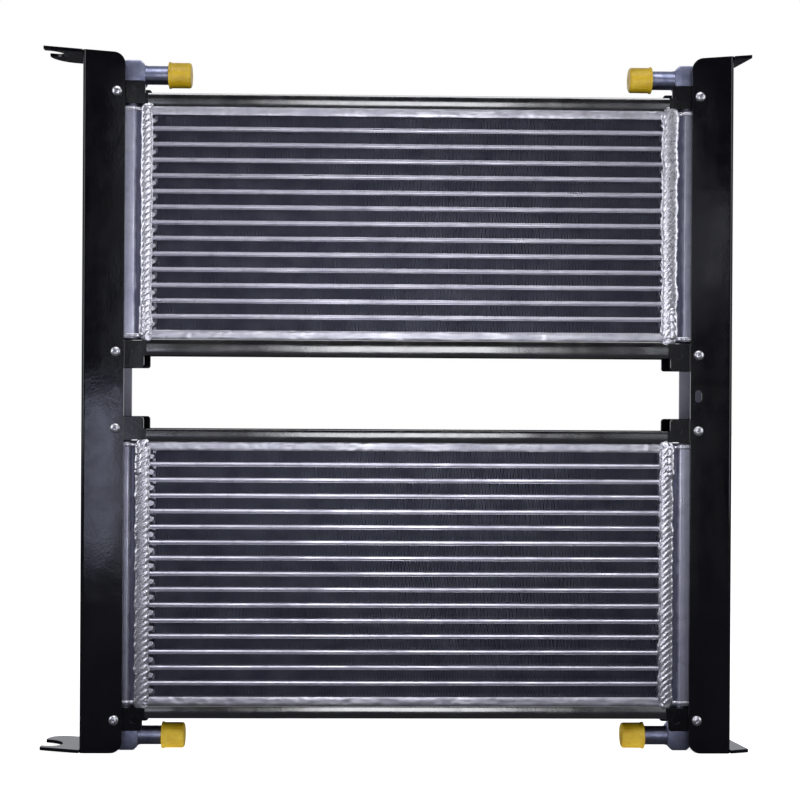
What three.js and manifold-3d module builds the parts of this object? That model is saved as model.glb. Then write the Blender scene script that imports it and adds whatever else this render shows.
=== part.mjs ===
// Twin hydraulic oil cooler: two bar-and-plate coolers, one above the other, in a painted steel frame.
// Millimetres, +Z up, the front faces -Y. The origin is under the middle of the whole object, on the floor.

import * as THREE from 'three';
import { mergeVertices } from 'three/addons/utils/BufferGeometryUtils.js';
import Module from 'manifold-3d';

// ---- driving dimensions ------------------------------------------------------------------------------

const fitGap = 0.3;              // clearance left between two pieces that touch
const shaftSides = 20;           // facets of shafts, rings and bosses
const holeSides = 12;            // facets of screws and their holes

// frame
const frameWidth = 653;          // over the outer faces of the two rails
const frameHeight = 700.5;         // over the foot plates, measured halfway along a rail flange
const railDepth = 60;            // front flange to rear flange, outside
const railFlange = 42.5;         // width of a rail flange
const railWall = 3;
const railBend = 4;              // outer radius of the rail's two bends
const railCorner = 12;           // rounded inner corners of the flanges
const railSlotWidth = 7;
const railSlotHeight = 12.5;
const railSlotInset = 34.5;      // from the rail's outer face to the slot
const railSlotLevel = 359.5;

// foot plates
const footWall = 3.5;
const footInset = 9;             // from the flange's inner edge to the inner end of the plate
const footTilt = THREE.MathUtils.degToRad(4.4);   // the plates rise towards their tips
const longFootReach = 39;        // the left plates, beyond the rail
const shortFootReach = 18;       // the right plates, beyond the rail
const shortFootTaper = 10;       // how much less the right plates reach at the rear
const notchWidth = 28;           // U-shaped notch in the left plates
const notchDepth = 19;
const notchShift = -8;           // from the middle of the depth towards the front
const longFootCorner = 22;       // rounded rear corner of the left plates

// coolers
const coreDepth = 50;
const coreHalfWidth = 263;       // middle of the cooler to the joint between core and tank
const finHalfWidth = 254;
const finHeight = 11.4;
const passageHeight = 4.25;
const finRecess = 3;
const sidePlate = 8.7;
const sidePlateHalfWidth = 262.7;
const coolers = [
  { name: 'upper', passages: 13, centre: 530.6, topBar: 12.5, bottomBar: 16.5, portEnd: 1, portRise: 33.7 },
  { name: 'lower', passages: 15, centre: 178.9, topBar: 12.5, bottomBar: 12.5, portEnd: -1, portRise: 32.7 },
];
// centre is the level of the cooler's middle, topBar and bottomBar are the heights of its cross bars, and
// portRise is from the tank's end to the elbow's horizontal axis.

// tanks
const tankWall = 3;
const tankFlat = 20;             // flat stretch of the tank's front and rear before it curves
const tankSegments = 12;         // facets of the half round
const portX = 279;               // middle of the port in the tank's end
const portY = -8;
const bossRadius = 12.5;
const bossHeight = 6;
const portHole = 8;

// cross bars
const barDepth = 53.4;
const barWall = 3;
const barWebHalfWidth = 257;
const earInner = 264.5;
const earOuter = 304;
const earRise = 12.2;            // from the bar's free edge to the ears' free edge
const earStep = 1.7;             // from the bar's web to the ears' other edge
const earDimpleX = 272;
const earDimpleRadius = 4.5;
const earDimpleDepth = 1.2;
const screwX = 292;
const screwReach = 13.2;         // from the bar's web to the screw
const screwClearance = 2.9;      // radius of the screw holes
const weldNutFlats = 8;
const weldNutHeight = 4;

// screws
const screwRadius = 2.5;
const screwHeadRadius = 5;
const screwHeadHeight = 3.7;
const screwHeadRim = 1.4;        // height of the head's upright rim, below its dome
const screwLength = 12.5;

// fittings
const elbowBody = 26.4;
const elbowDepth = 23;
const elbowChamfer = 4.5;
const neckRadius = 9.4;
const neckLength = 23.6;         // plain neck, from the elbow's body to the thread
const threadRadius = 11;
const shankLength = 43;          // from the elbow's body to the tip of the nose
const noseLength = 4;
const noseRadius = 8.6;
const boreRadius = 6;
const legRadius = 10;
const spigotRadius = 7.7;
const spigotReach = 3;           // past the tank's end plate
const sealHeight = 2;
const sealRadius = 10.8;
const capRadius = 12.8;
const capLength = 22.8;
const capWall = 2;
const capRim = 0.7;
const capRimLength = 2;
const capSeat = 23;              // from the elbow's body to the cap's open end
const fittings = [
  { name: 'upper_left', cooler: 0, side: -1, inboard: 0 },
  { name: 'upper_right', cooler: 0, side: 1, inboard: -3 },
  { name: 'lower_left', cooler: 1, side: -1, inboard: -3.5 },
  { name: 'lower_right', cooler: 1, side: 1, inboard: 1 },
];

// ---- values worked out from them ---------------------------------------------------------------------

const railOuter = frameWidth / 2;
const railInner = railOuter - railFlange;
const halfDepth = railDepth / 2;
const slotCentreX = railOuter - railSlotInset;
const stackHeight = (cooler) => (cooler.passages + 1) * finHeight + cooler.passages * passageHeight;
const coolerHalfHeight = (cooler) => stackHeight(cooler) / 2 + fitGap + sidePlate;
const barInnerLevel = (cooler, end) => cooler.centre + end * (coolerHalfHeight(cooler) + fitGap);
const screwLevel = (cooler, end) => barInnerLevel(cooler, end) + end * screwReach;

// ---- materials ---------------------------------------------------------------------------------------

function paint() {
  return new THREE.MeshStandardMaterial({ color: 0x0b0b0e, roughness: 0.28, metalness: 0.1 });
}

function zinc() {
  return new THREE.MeshStandardMaterial({ color: 0xc9c9cf, roughness: 0.3, metalness: 1 });
}

function aluminium() {
  return new THREE.MeshStandardMaterial({ color: 0xb4b6c4, roughness: 0.42, metalness: 1 });
}

function castZinc() {
  return new THREE.MeshStandardMaterial({ color: 0x9c9cac, roughness: 0.5, metalness: 0.9 });
}

function blackRubber() {
  return new THREE.MeshStandardMaterial({ color: 0x17171a, roughness: 0.8, metalness: 0 });
}

function amberPlastic() {
  return new THREE.MeshStandardMaterial({ color: 0xcf9a14, roughness: 0.45, metalness: 0 });
}

// ---- solids ------------------------------------------------------------------------------------------

const solids = await Module();
solids.setup();

function toSolid(geometry) {
  const bare = geometry.clone();
  bare.deleteAttribute('normal');
  bare.deleteAttribute('uv');
  const welded = mergeVertices(bare, 1e-4);
  return new solids.Manifold(new solids.Mesh({
    numProp: 3,
    vertProperties: new Float32Array(welded.attributes.position.array),
    triVerts: new Uint32Array(welded.index.array),
  }));
}

function toGeometry(solid) {
  const mesh = solid.getMesh();
  const geometry = new THREE.BufferGeometry();
  geometry.setAttribute('position', new THREE.BufferAttribute(new Float32Array(mesh.vertProperties), 3));
  geometry.setIndex(new THREE.BufferAttribute(new Uint32Array(mesh.triVerts), 1));
  return geometry;
}

function join(...geometries) {
  return toGeometry(geometries.map(toSolid).reduce((whole, next) => whole.add(next)));
}

function cut(geometry, ...tools) {
  return toGeometry(tools.map(toSolid).reduce((whole, tool) => whole.subtract(tool), toSolid(geometry)));
}

function common(first, second) {
  return toGeometry(toSolid(first).intersect(toSolid(second)));
}

// A box between two corners.
function block(low, high) {
  const size = new THREE.Vector3().subVectors(high, low);
  const middle = new THREE.Vector3().addVectors(high, low).multiplyScalar(0.5);
  return new THREE.BoxGeometry(size.x, size.y, size.z).translate(middle.x, middle.y, middle.z);
}

// An outline drawn in X and Z, extruded from yLow to yHigh.
function frontExtrusion(outline, yLow, yHigh, segments = 6) {
  const geometry = new THREE.ExtrudeGeometry(outline, {
    depth: yHigh - yLow, bevelEnabled: false, curveSegments: segments,
  });
  return geometry.rotateX(Math.PI / 2).translate(0, yHigh, 0);
}

// An outline drawn in X and Y, extruded from zLow to zHigh.
function planExtrusion(outline, zLow, zHigh, segments = 8) {
  const geometry = new THREE.ExtrudeGeometry(outline, {
    depth: zHigh - zLow, bevelEnabled: false, curveSegments: segments,
  });
  return geometry.translate(0, 0, zLow);
}

// A rod along Y through (x, z).
function rodAlongY(radius, x, z, yLow, yHigh, sides) {
  const rod = new THREE.CylinderGeometry(radius, radius, yHigh - yLow, sides);
  return rod.translate(x, (yLow + yHigh) / 2, z);
}

// A rod along Z through (x, y).
function rodAlongZ(radius, x, y, zLow, zHigh, sides) {
  const rod = new THREE.CylinderGeometry(radius, radius, zHigh - zLow, sides);
  return rod.rotateX(Math.PI / 2).translate(x, y, (zLow + zHigh) / 2);
}

// A rod along X from xLow to xHigh on the X axis.
function rodAlongX(radius, xLow, xHigh, sides) {
  const rod = new THREE.CylinderGeometry(radius, radius, xHigh - xLow, sides);
  return rod.rotateZ(Math.PI / 2).translate((xLow + xHigh) / 2, 0, 0);
}

// The mirror image across a plane through the origin, with its faces still pointing out.
function mirrored(geometry, axis) {
  const image = geometry.clone();
  image.scale(axis === 'x' ? -1 : 1, 1, axis === 'z' ? -1 : 1);
  const index = image.index.array;
  for (let corner = 0; corner < index.length; corner += 3) {
    [index[corner], index[corner + 1]] = [index[corner + 1], index[corner]];
  }
  return image;
}

function polygon(points) {
  return new THREE.Shape(points.map(([x, y]) => new THREE.Vector2(x, y)));
}

// ---- frame -------------------------------------------------------------------------------------------

// Level of a foot plate's outer face, at x on the right-hand side. A top plate slopes all along.
// A bottom plate is level under the rail and bends up beyond it.
function topLevel(x) {
  return frameHeight + (x - (railInner + railFlange / 2)) * Math.tan(footTilt);
}

function bottomLevel(x) {
  return Math.max(0, x - railOuter) * Math.tan(footTilt);
}

// The right rail's front view, with its rounded inner corners.
function railOutline() {
  const cornerX = railInner + railCorner;
  const upperCorner = topLevel(cornerX) - railCorner;
  const outline = new THREE.Shape();
  outline.moveTo(cornerX, 0);
  outline.lineTo(railOuter, 0);
  outline.lineTo(railOuter, topLevel(railOuter));
  outline.lineTo(cornerX, topLevel(cornerX));
  outline.absarc(cornerX, upperCorner, railCorner, Math.PI / 2, Math.PI, false);
  outline.lineTo(railInner, railCorner);
  outline.absarc(cornerX, railCorner, railCorner, Math.PI, 1.5 * Math.PI, false);
  return outline;
}

// The right rail's section in plan: a channel open towards the coolers, with two bends.
function channelSection() {
  const inside = railBend - railWall;
  const cornerX = railOuter - railBend;
  const cornerY = halfDepth - railBend;
  const section = new THREE.Shape();
  section.moveTo(railInner, -halfDepth);
  section.lineTo(cornerX, -halfDepth);
  section.absarc(cornerX, -cornerY, railBend, -Math.PI / 2, 0, false);
  section.absarc(cornerX, cornerY, railBend, 0, Math.PI / 2, false);
  section.lineTo(railInner, halfDepth);
  section.lineTo(railInner, halfDepth - railWall);
  section.absarc(cornerX, cornerY, inside, Math.PI / 2, 0, true);
  section.absarc(cornerX, -cornerY, inside, 0, -Math.PI / 2, true);
  section.lineTo(railInner, railWall - halfDepth);
  return section;
}

// Where a foot plate passes over the end of the rail's web.
function webRelief(end) {
  const x = railOuter - railBend;
  const low = end > 0 ? topLevel(x) - footWall - 2 * fitGap : -1;
  const high = end > 0 ? frameHeight + railCorner : footWall + fitGap;
  const halfWidth = halfDepth - railWall;
  return block(new THREE.Vector3(x, -halfWidth, low), new THREE.Vector3(railOuter + 1, halfWidth, high));
}

function obround(x, z, width, height) {
  const radius = width / 2;
  const straight = height / 2 - radius;
  const outline = new THREE.Shape();
  outline.absarc(x, z + straight, radius, 0, Math.PI, false);
  outline.absarc(x, z - straight, radius, Math.PI, 2 * Math.PI, false);
  return outline;
}

function rightRail() {
  const channel = planExtrusion(channelSection(), 0, frameHeight + railCorner, 4);
  const slot = obround(slotCentreX, railSlotLevel, railSlotWidth, railSlotHeight);
  const holes = [];
  for (const cooler of coolers) {
    for (const end of [-1, 1]) {
      const level = screwLevel(cooler, end);
      holes.push(rodAlongY(screwClearance, screwX, level, -railDepth, railDepth, holeSides));
    }
  }
  return cut(
    common(channel, frontExtrusion(railOutline(), -halfDepth - 1, halfDepth + 1)),
    webRelief(1),
    webRelief(-1),
    frontExtrusion(slot, -halfDepth - 1, 0),
    ...holes,
  );
}

// The front view of a foot plate: level or sloping strip whose outer face is given by a level function.
function footProfile(reach, level, thickness) {
  const inner = railInner + footInset;
  const tip = railOuter + reach;
  return polygon([
    [inner, level(inner)],
    [railOuter, level(railOuter)],
    [tip, level(tip)],
    [tip, level(tip) + thickness],
    [railOuter, level(railOuter) + thickness],
    [inner, level(inner) + thickness],
  ]);
}

// Plan of the long plates: the part between the flanges is narrower than the part beyond the rail.
function longFootPlan() {
  const inside = halfDepth - railWall - fitGap;
  const outside = railOuter + fitGap;
  const tip = railOuter + longFootReach;
  const notchRadius = notchWidth / 2;
  const notchCentre = tip - notchDepth + notchRadius;
  const plan = new THREE.Shape();
  plan.moveTo(railInner, -inside);
  plan.lineTo(outside, -inside);
  plan.lineTo(outside, -halfDepth);
  plan.lineTo(tip, -halfDepth);
  plan.lineTo(tip, notchShift - notchRadius);
  plan.absarc(notchCentre, notchShift, notchRadius, -Math.PI / 2, Math.PI / 2, true);
  plan.lineTo(tip, notchShift + notchRadius);
  plan.absarc(tip - longFootCorner, halfDepth - longFootCorner, longFootCorner, 0, Math.PI / 2, false);
  plan.lineTo(outside, halfDepth);
  plan.lineTo(outside, inside);
  plan.lineTo(railInner, inside);
  return plan;
}

function shortFootPlan() {
  const inside = halfDepth - railWall - fitGap;
  const outside = railOuter + fitGap;
  const tip = railOuter + shortFootReach;
  return polygon([
    [railInner, -inside],
    [outside, -inside],
    [outside, -halfDepth],
    [tip, -halfDepth],
    [tip - shortFootTaper, halfDepth],
    [outside, halfDepth],
    [outside, inside],
    [railInner, inside],
  ]);
}

// A right-hand foot plate. end is 1 at the top of the rail and -1 at the bottom.
function foot(reach, plan, end) {
  const level = end > 0 ? topLevel : bottomLevel;
  const profile = footProfile(reach, level, -end * footWall);
  const strip = frontExtrusion(profile, -halfDepth - 1, halfDepth + 1);
  return common(strip, planExtrusion(plan, -footWall, frameHeight * 1.1));
}

// ---- cross bars --------------------------------------------------------------------------------------

// Front view of a bar's flange, drawn for a bar whose web is at z = 0 and whose free edge is up.
function barFlangeOutline(height) {
  const corner = 3;
  const earTop = height + earRise;
  const outline = new THREE.Shape();
  outline.moveTo(-barWebHalfWidth, 0);
  outline.lineTo(barWebHalfWidth, 0);
  outline.lineTo(barWebHalfWidth, earStep);
  outline.absarc(earOuter - corner, earStep + corner, corner, -Math.PI / 2, 0, false);
  outline.absarc(earOuter - corner, earTop - corner, corner, 0, Math.PI / 2, false);
  outline.absarc(earInner + corner, earTop - corner, corner, Math.PI / 2, Math.PI, false);
  outline.lineTo(earInner, height);
  outline.lineTo(-earInner, height);
  outline.absarc(-earInner - corner, earTop - corner, corner, 0, Math.PI / 2, false);
  outline.absarc(-earOuter + corner, earTop - corner, corner, Math.PI / 2, Math.PI, false);
  outline.absarc(-earOuter + corner, earStep + corner, corner, Math.PI, 1.5 * Math.PI, false);
  outline.lineTo(-barWebHalfWidth, earStep);
  return outline;
}

function weldNut(x, depthSide) {
  const radius = weldNutFlats / Math.sqrt(3);
  const nut = new THREE.CylinderGeometry(radius, radius, weldNutHeight, 6);
  const earFace = barDepth / 2 - barWall;
  return nut.translate(x, depthSide * (earFace - weldNutHeight / 2 + 0.1), screwReach);
}

// The shallow round recess pressed into an ear's outer face.
function earDimple(x, depthSide) {
  const faces = [depthSide * (barDepth / 2 - earDimpleDepth), depthSide * barDepth].sort((a, b) => a - b);
  return rodAlongY(earDimpleRadius, x, screwReach, faces[0], faces[1], holeSides);
}

// A pressed U-section with ears on both flanges, web at z = 0 and free edges up.
function crossBar(height) {
  const pieces = [];
  const holes = [];
  const outerFace = barDepth / 2;
  for (const depthSide of [-1, 1]) {
    const faces = [depthSide * outerFace, depthSide * (outerFace - barWall)].sort((a, b) => a - b);
    pieces.push(frontExtrusion(barFlangeOutline(height), faces[0], faces[1], 3));
  }
  pieces.push(block(
    new THREE.Vector3(-barWebHalfWidth, -outerFace + barWall / 2, 0),
    new THREE.Vector3(barWebHalfWidth, outerFace - barWall / 2, barWall),
  ));
  for (const side of [-1, 1]) {
    for (const depthSide of [-1, 1]) {
      pieces.push(weldNut(side * screwX, depthSide));
      holes.push(earDimple(side * earDimpleX, depthSide));
    }
    holes.push(rodAlongY(screwClearance, side * screwX, screwReach, -railDepth, railDepth, holeSides));
  }
  return cut(join(...pieces), ...holes);
}

// ---- coolers -----------------------------------------------------------------------------------------

// The brazed block: oil passages stand level with its front and rear, fin rows lie deeper.
function core(cooler) {
  const height = stackHeight(cooler);
  const half = coreDepth / 2;
  const pitch = finHeight + passageHeight;
  const rows = [];
  for (let row = 0; row <= cooler.passages; row += 1) {
    const low = row * pitch - height / 2;
    for (const depthSide of [-1, 1]) {
      const faces = [depthSide * (half - finRecess), depthSide * (half + 1)].sort((a, b) => a - b);
      const from = row === 0 ? low - 1 : low;
      const to = row === cooler.passages ? low + finHeight + 1 : low + finHeight;
      rows.push(block(
        new THREE.Vector3(-finHalfWidth, faces[0], from),
        new THREE.Vector3(finHalfWidth, faces[1], to),
      ));
    }
  }
  const whole = block(
    new THREE.Vector3(-coreHalfWidth + fitGap / 2, -half, -height / 2),
    new THREE.Vector3(coreHalfWidth - fitGap / 2, half, height / 2),
  );
  return cut(whole, ...rows);
}

function corePlate() {
  return block(
    new THREE.Vector3(-sidePlateHalfWidth, -coreDepth / 2, 0),
    new THREE.Vector3(sidePlateHalfWidth, coreDepth / 2, sidePlate),
  );
}

// Plan of a right-hand tank: flat beside the core, then half round. radius is that of the half round.
function tankPlan(radius) {
  const start = coreHalfWidth + fitGap / 2;
  const middle = start + tankFlat;
  const plan = new THREE.Shape();
  plan.moveTo(start, -radius);
  plan.lineTo(middle, -radius);
  plan.absarc(middle, 0, radius, -Math.PI / 2, Math.PI / 2, false);
  plan.lineTo(start, radius);
  return plan;
}

function tankShell(cooler) {
  const half = coolerHalfHeight(cooler) - tankWall - fitGap;
  const outer = planExtrusion(tankPlan(coreDepth / 2), -half, half, tankSegments);
  const hollow = planExtrusion(tankPlan(coreDepth / 2 - tankWall), -half - 1, half + 1, tankSegments);
  const mouth = block(
    new THREE.Vector3(coreHalfWidth - 1, tankWall - coreDepth / 2, -half - 1),
    new THREE.Vector3(coreHalfWidth + fitGap, coreDepth / 2 - tankWall, half + 1),
  );
  return cut(outer, join(hollow, mouth));
}

function plainTankEnd() {
  return planExtrusion(tankPlan(coreDepth / 2), 0, tankWall, tankSegments);
}

// The end plate with the welded port boss, and the hole through both.
function portTankEnd(x) {
  const boss = rodAlongZ(bossRadius, x, portY, tankWall / 2, tankWall + bossHeight, shaftSides);
  const hole = rodAlongZ(portHole, x, portY, -1, tankWall + bossHeight + 1, shaftSides);
  return cut(join(plainTankEnd(), boss), hole);
}

// ---- fasteners and fittings --------------------------------------------------------------------------

// A pan head screw along +Y, its head's underside at y = 0.
function screw() {
  const steps = 3;
  const dome = screwHeadHeight - screwHeadRim;
  const section = [
    new THREE.Vector2(0, screwLength),
    new THREE.Vector2(screwRadius, screwLength),
    new THREE.Vector2(screwRadius, 0),
    new THREE.Vector2(screwHeadRadius, 0),
  ];
  for (let step = 0; step <= steps; step += 1) {
    const angle = (step / steps) * (Math.PI / 2);
    const flat = step === steps ? 0 : Math.cos(angle);
    section.push(new THREE.Vector2(screwHeadRadius * flat, -screwHeadRim - dome * Math.sin(angle)));
  }
  section.reverse();
  return new THREE.LatheGeometry(section, holeSides);
}

// The elbow with its two axes crossing at the origin: the neck and thread run along -X and the leg along -Z.
function elbow(portRise) {
  const half = elbowBody / 2;
  const shankEnd = -half - shankLength;
  const legEnd = -portRise + bossHeight + 2 * fitGap + sealHeight;
  const spigotEnd = -portRise - spigotReach;
  const body = frontExtrusion(polygon([
    [-half, -half + elbowChamfer],
    [-half + elbowChamfer, -half],
    [half, -half],
    [half, half - 1.5 * elbowChamfer],
    [half - 1.5 * elbowChamfer, half],
    [-half + elbowChamfer, half],
    [-half, half - elbowChamfer],
  ]), -elbowDepth / 2, elbowDepth / 2);
  const neck = rodAlongX(neckRadius, shankEnd + noseLength, 0, shaftSides);
  const thread = rodAlongX(threadRadius, shankEnd + noseLength, -half - neckLength, shaftSides);
  const nose = new THREE.CylinderGeometry(noseRadius, threadRadius, noseLength, shaftSides)
    .rotateZ(Math.PI / 2)
    .translate(shankEnd + noseLength / 2, 0, 0);
  const leg = rodAlongZ(legRadius, 0, 0, legEnd, 0, shaftSides);
  const spigot = rodAlongZ(spigotRadius, 0, 0, spigotEnd, 0, shaftSides);
  const shankBore = rodAlongX(boreRadius, shankEnd - 1, boreRadius, shaftSides);
  const legBore = rodAlongZ(boreRadius, 0, 0, spigotEnd - 1, boreRadius, shaftSides);
  return cut(join(body, neck, thread, nose, leg, spigot), join(shankBore, legBore));
}

// A flat ring around the spigot, centred on the Z axis and standing on z = 0.
function seal() {
  const inner = spigotRadius + fitGap;
  const section = [
    new THREE.Vector2(inner, 0),
    new THREE.Vector2(sealRadius, 0),
    new THREE.Vector2(sealRadius, sealHeight),
    new THREE.Vector2(inner, sealHeight),
    new THREE.Vector2(inner, 0),
  ];
  return new THREE.LatheGeometry(section, shaftSides).rotateX(Math.PI / 2);
}

// The protective cap, open towards +X at x = 0 and closed at its rounded far end.
function cap() {
  const inner = threadRadius + fitGap;
  const round = 2.5;
  const steps = 3;
  const section = [new THREE.Vector2(0, capLength)];
  for (let step = 0; step <= steps; step += 1) {
    const angle = (step / steps) * (Math.PI / 2);
    section.push(new THREE.Vector2(
      capRadius - round + round * Math.sin(angle),
      capLength - round + round * Math.cos(angle),
    ));
  }
  section.push(new THREE.Vector2(capRadius, capRimLength));
  section.push(new THREE.Vector2(capRadius + capRim, capRimLength));
  section.push(new THREE.Vector2(capRadius + capRim, 0));
  section.push(new THREE.Vector2(inner, 0));
  section.push(new THREE.Vector2(inner, capLength - capWall));
  section.push(new THREE.Vector2(0, capLength - capWall));
  section.reverse();
  return new THREE.LatheGeometry(section, shaftSides).rotateZ(Math.PI / 2);
}

// ---- assembly ----------------------------------------------------------------------------------------

const assembly = new THREE.Group();

function place(name, geometry, material, x = 0, y = 0, z = 0) {
  const mesh = new THREE.Mesh(geometry, material);
  mesh.name = name;
  mesh.position.set(x, y, z);
  assembly.add(mesh);
  return mesh;
}

function addFrame() {
  const rail = rightRail();
  place('rail_right', rail, paint());
  place('rail_left', mirrored(rail, 'x'), paint());
  place('foot_top_right', foot(shortFootReach, shortFootPlan(), 1), paint());
  place('foot_bottom_right', foot(shortFootReach, shortFootPlan(), -1), paint());
  place('foot_top_left', mirrored(foot(longFootReach, longFootPlan(), 1), 'x'), paint());
  place('foot_bottom_left', mirrored(foot(longFootReach, longFootPlan(), -1), 'x'), paint());
}

function addScrews(cooler, end, endName) {
  const z = screwLevel(cooler, end);
  for (const [side, sideName] of [[-1, 'left'], [1, 'right']]) {
    const position = `${cooler.name}_${endName}_${sideName}`;
    const headFace = halfDepth + fitGap / 2;
    place(`screw_front_${position}`, screw(), zinc(), side * screwX, -headFace, z);
    place(`screw_rear_${position}`, screw().rotateZ(Math.PI), zinc(), side * screwX, headFace, z);
  }
}

function addCooler(cooler) {
  const half = coolerHalfHeight(cooler);
  place(`core_${cooler.name}`, core(cooler), aluminium(), 0, 0, cooler.centre);
  for (const [end, endName] of [[1, 'top'], [-1, 'bottom']]) {
    const plateLow = end > 0 ? cooler.centre + half - sidePlate : cooler.centre - half;
    place(`side_plate_${cooler.name}_${endName}`, corePlate(), aluminium(), 0, 0, plateLow);
    const bar = end > 0 ? crossBar(cooler.topBar) : mirrored(crossBar(cooler.bottomBar), 'z');
    place(`cross_bar_${cooler.name}_${endName}`, bar, paint(), 0, 0, barInnerLevel(cooler, end));
    addScrews(cooler, end, endName);
  }
}

function addTank(cooler, side, sideName, inboard) {
  const half = coolerHalfHeight(cooler);
  const shell = tankShell(cooler);
  place(`tank_${cooler.name}_${sideName}`, side > 0 ? shell : mirrored(shell, 'x'), aluminium(), 0, 0,
    cooler.centre);
  for (const [end, endName] of [[1, 'top'], [-1, 'bottom']]) {
    let plate = end === cooler.portEnd ? portTankEnd(portX - inboard) : plainTankEnd();
    plate = toGeometry(toSolid(plate));
    if (end < 0) {
      plate = mirrored(plate, 'z');
    }
    if (side < 0) {
      plate = mirrored(plate, 'x');
    }
    place(`tank_end_${cooler.name}_${sideName}_${endName}`, plate, aluminium(), 0, 0,
      cooler.centre + end * (half - tankWall));
  }
}

function addFitting(fitting) {
  const cooler = coolers[fitting.cooler];
  const end = cooler.portEnd;
  const x = fitting.side * (portX - fitting.inboard);
  const tankEnd = cooler.centre + end * coolerHalfHeight(cooler);
  const axisLevel = tankEnd + end * cooler.portRise;
  const turn = (geometry) => {
    const tipped = end < 0 ? geometry.rotateX(Math.PI) : geometry;
    return fitting.side < 0 ? tipped.rotateZ(Math.PI) : tipped;
  };
  place(`elbow_${fitting.name}`, turn(elbow(cooler.portRise)), castZinc(), x, portY, axisLevel);
  const sealLow = tankEnd + end * (bossHeight + fitGap) + (end < 0 ? -sealHeight : 0);
  place(`seal_${fitting.name}`, seal(), blackRubber(), x, portY, sealLow);
  const capMouth = x - fitting.side * (elbowBody / 2 + capSeat);
  const turned = fitting.side < 0 ? cap().rotateZ(Math.PI) : cap();
  place(`cap_${fitting.name}`, turned, amberPlastic(), capMouth, portY, axisLevel);
}

addFrame();
for (const cooler of coolers) {
  addCooler(cooler);
}
for (const fitting of fittings) {
  addTank(coolers[fitting.cooler], fitting.side, fitting.side < 0 ? 'left' : 'right', fitting.inboard);
  addFitting(fitting);
}

// The origin goes under the middle of the whole object.
assembly.updateMatrixWorld(true);
const extent = new THREE.Box3().setFromObject(assembly);
const middle = extent.getCenter(new THREE.Vector3());
assembly.position.set(-middle.x, -middle.y, -extent.min.z);

export default assembly;
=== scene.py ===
"""Twin hydraulic oil cooler: the looks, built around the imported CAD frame.

Metres, +Z up, the front faces -Y.
"""

import math
import random

import bmesh
import bpy
from mathutils import Matrix, Vector, noise


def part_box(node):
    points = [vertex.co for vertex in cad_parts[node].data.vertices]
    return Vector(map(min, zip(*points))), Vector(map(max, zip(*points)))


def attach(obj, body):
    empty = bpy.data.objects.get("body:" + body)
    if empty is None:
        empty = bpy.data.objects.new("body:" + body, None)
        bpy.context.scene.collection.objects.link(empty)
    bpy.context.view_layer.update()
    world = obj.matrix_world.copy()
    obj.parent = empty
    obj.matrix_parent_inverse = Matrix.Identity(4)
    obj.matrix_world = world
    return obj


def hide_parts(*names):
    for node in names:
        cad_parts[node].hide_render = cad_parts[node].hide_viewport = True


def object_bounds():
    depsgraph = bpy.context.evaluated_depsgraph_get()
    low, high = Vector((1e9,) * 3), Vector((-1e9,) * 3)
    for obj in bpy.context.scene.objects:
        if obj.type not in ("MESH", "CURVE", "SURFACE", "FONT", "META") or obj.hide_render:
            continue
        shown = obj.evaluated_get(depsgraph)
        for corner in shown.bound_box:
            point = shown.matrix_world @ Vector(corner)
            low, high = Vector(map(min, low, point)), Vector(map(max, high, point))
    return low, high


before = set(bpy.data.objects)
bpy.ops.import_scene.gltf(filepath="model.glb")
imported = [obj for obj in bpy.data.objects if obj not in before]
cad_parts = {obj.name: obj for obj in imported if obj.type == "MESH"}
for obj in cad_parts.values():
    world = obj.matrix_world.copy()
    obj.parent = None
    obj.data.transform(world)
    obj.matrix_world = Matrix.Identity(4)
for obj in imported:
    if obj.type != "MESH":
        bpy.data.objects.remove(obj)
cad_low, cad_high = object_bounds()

MM = 0.001
SIDES = {"left": -1, "right": 1}
ENDS = {"top": 1, "bottom": -1}
COOLERS = {"upper": "top", "lower": "bottom"}     # each cooler, and the end that its ports are on
FITTINGS = [(cooler, side) for cooler in COOLERS for side in SIDES]
BODY = "cooler"
MIDDLE = sum((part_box("core_upper")[i].x for i in (0, 1))) / 2    # the coolers' middle, in X

# Each seam weld's width, and how far its middle lies outboard of the core's end.
SEAMS = {("upper", "left"): (12.5 * MM, 0), ("upper", "right"): (17 * MM, 0),
         ("lower", "left"): (15.5 * MM, 2.8 * MM), ("lower", "right"): (15 * MM, -1.8 * MM)}

REAR_SHEEN_Y = (26.2 * MM, 27.8 * MM)        # range of Y that holds the rear flanges' inner face, where a lilac-grey sheen is painted

# How bright each tank's metal is beside the first one's: painted shade, each other tank a darker copy of the
# same metal.
TANK_SHADES = {("upper", "left"): 1.0, ("upper", "right"): 0.64,
              ("lower", "left"): 0.62, ("lower", "right"): 0.75}


# ---- mesh code ---------------------------------------------------------------------------------------

def ring_faces(count, size, wrap):
    """The quads between rings, each a closed loop of the same number of points."""
    faces = []
    for ring in range(count if wrap else count - 1):
        here, there = ring * size, (ring + 1) % count * size
        for i in range(size):
            j = (i + 1) % size
            faces.append((here + i, here + j, there + j, there + i))
    return faces


class Shape:
    """Points and faces of one mesh, in metres."""

    def __init__(self):
        self.points = []
        self.faces = []

    def loft(self, rings, wrap=False):
        """Joins closed loops of points into a closed skin. With wrap, the last loop meets the first."""
        start, size = len(self.points), len(rings[0])
        faces = ring_faces(len(rings), size, wrap)
        if not wrap:
            last = (len(rings) - 1) * size
            faces.append(tuple(range(size)))
            faces.append(tuple(last + i for i in reversed(range(size))))
        self.points += [point for ring in rings for point in ring]
        self.faces += [tuple(start + corner for corner in face) for face in faces]
        return self

    def mesh(self, name, sharp=30):
        """A mesh whose faces point out, with its edges sharp above that many degrees."""
        mesh = bpy.data.meshes.new(name)
        mesh.from_pydata([tuple(p) for p in self.points], [], self.faces)
        return tidy(mesh, sharp)


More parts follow.
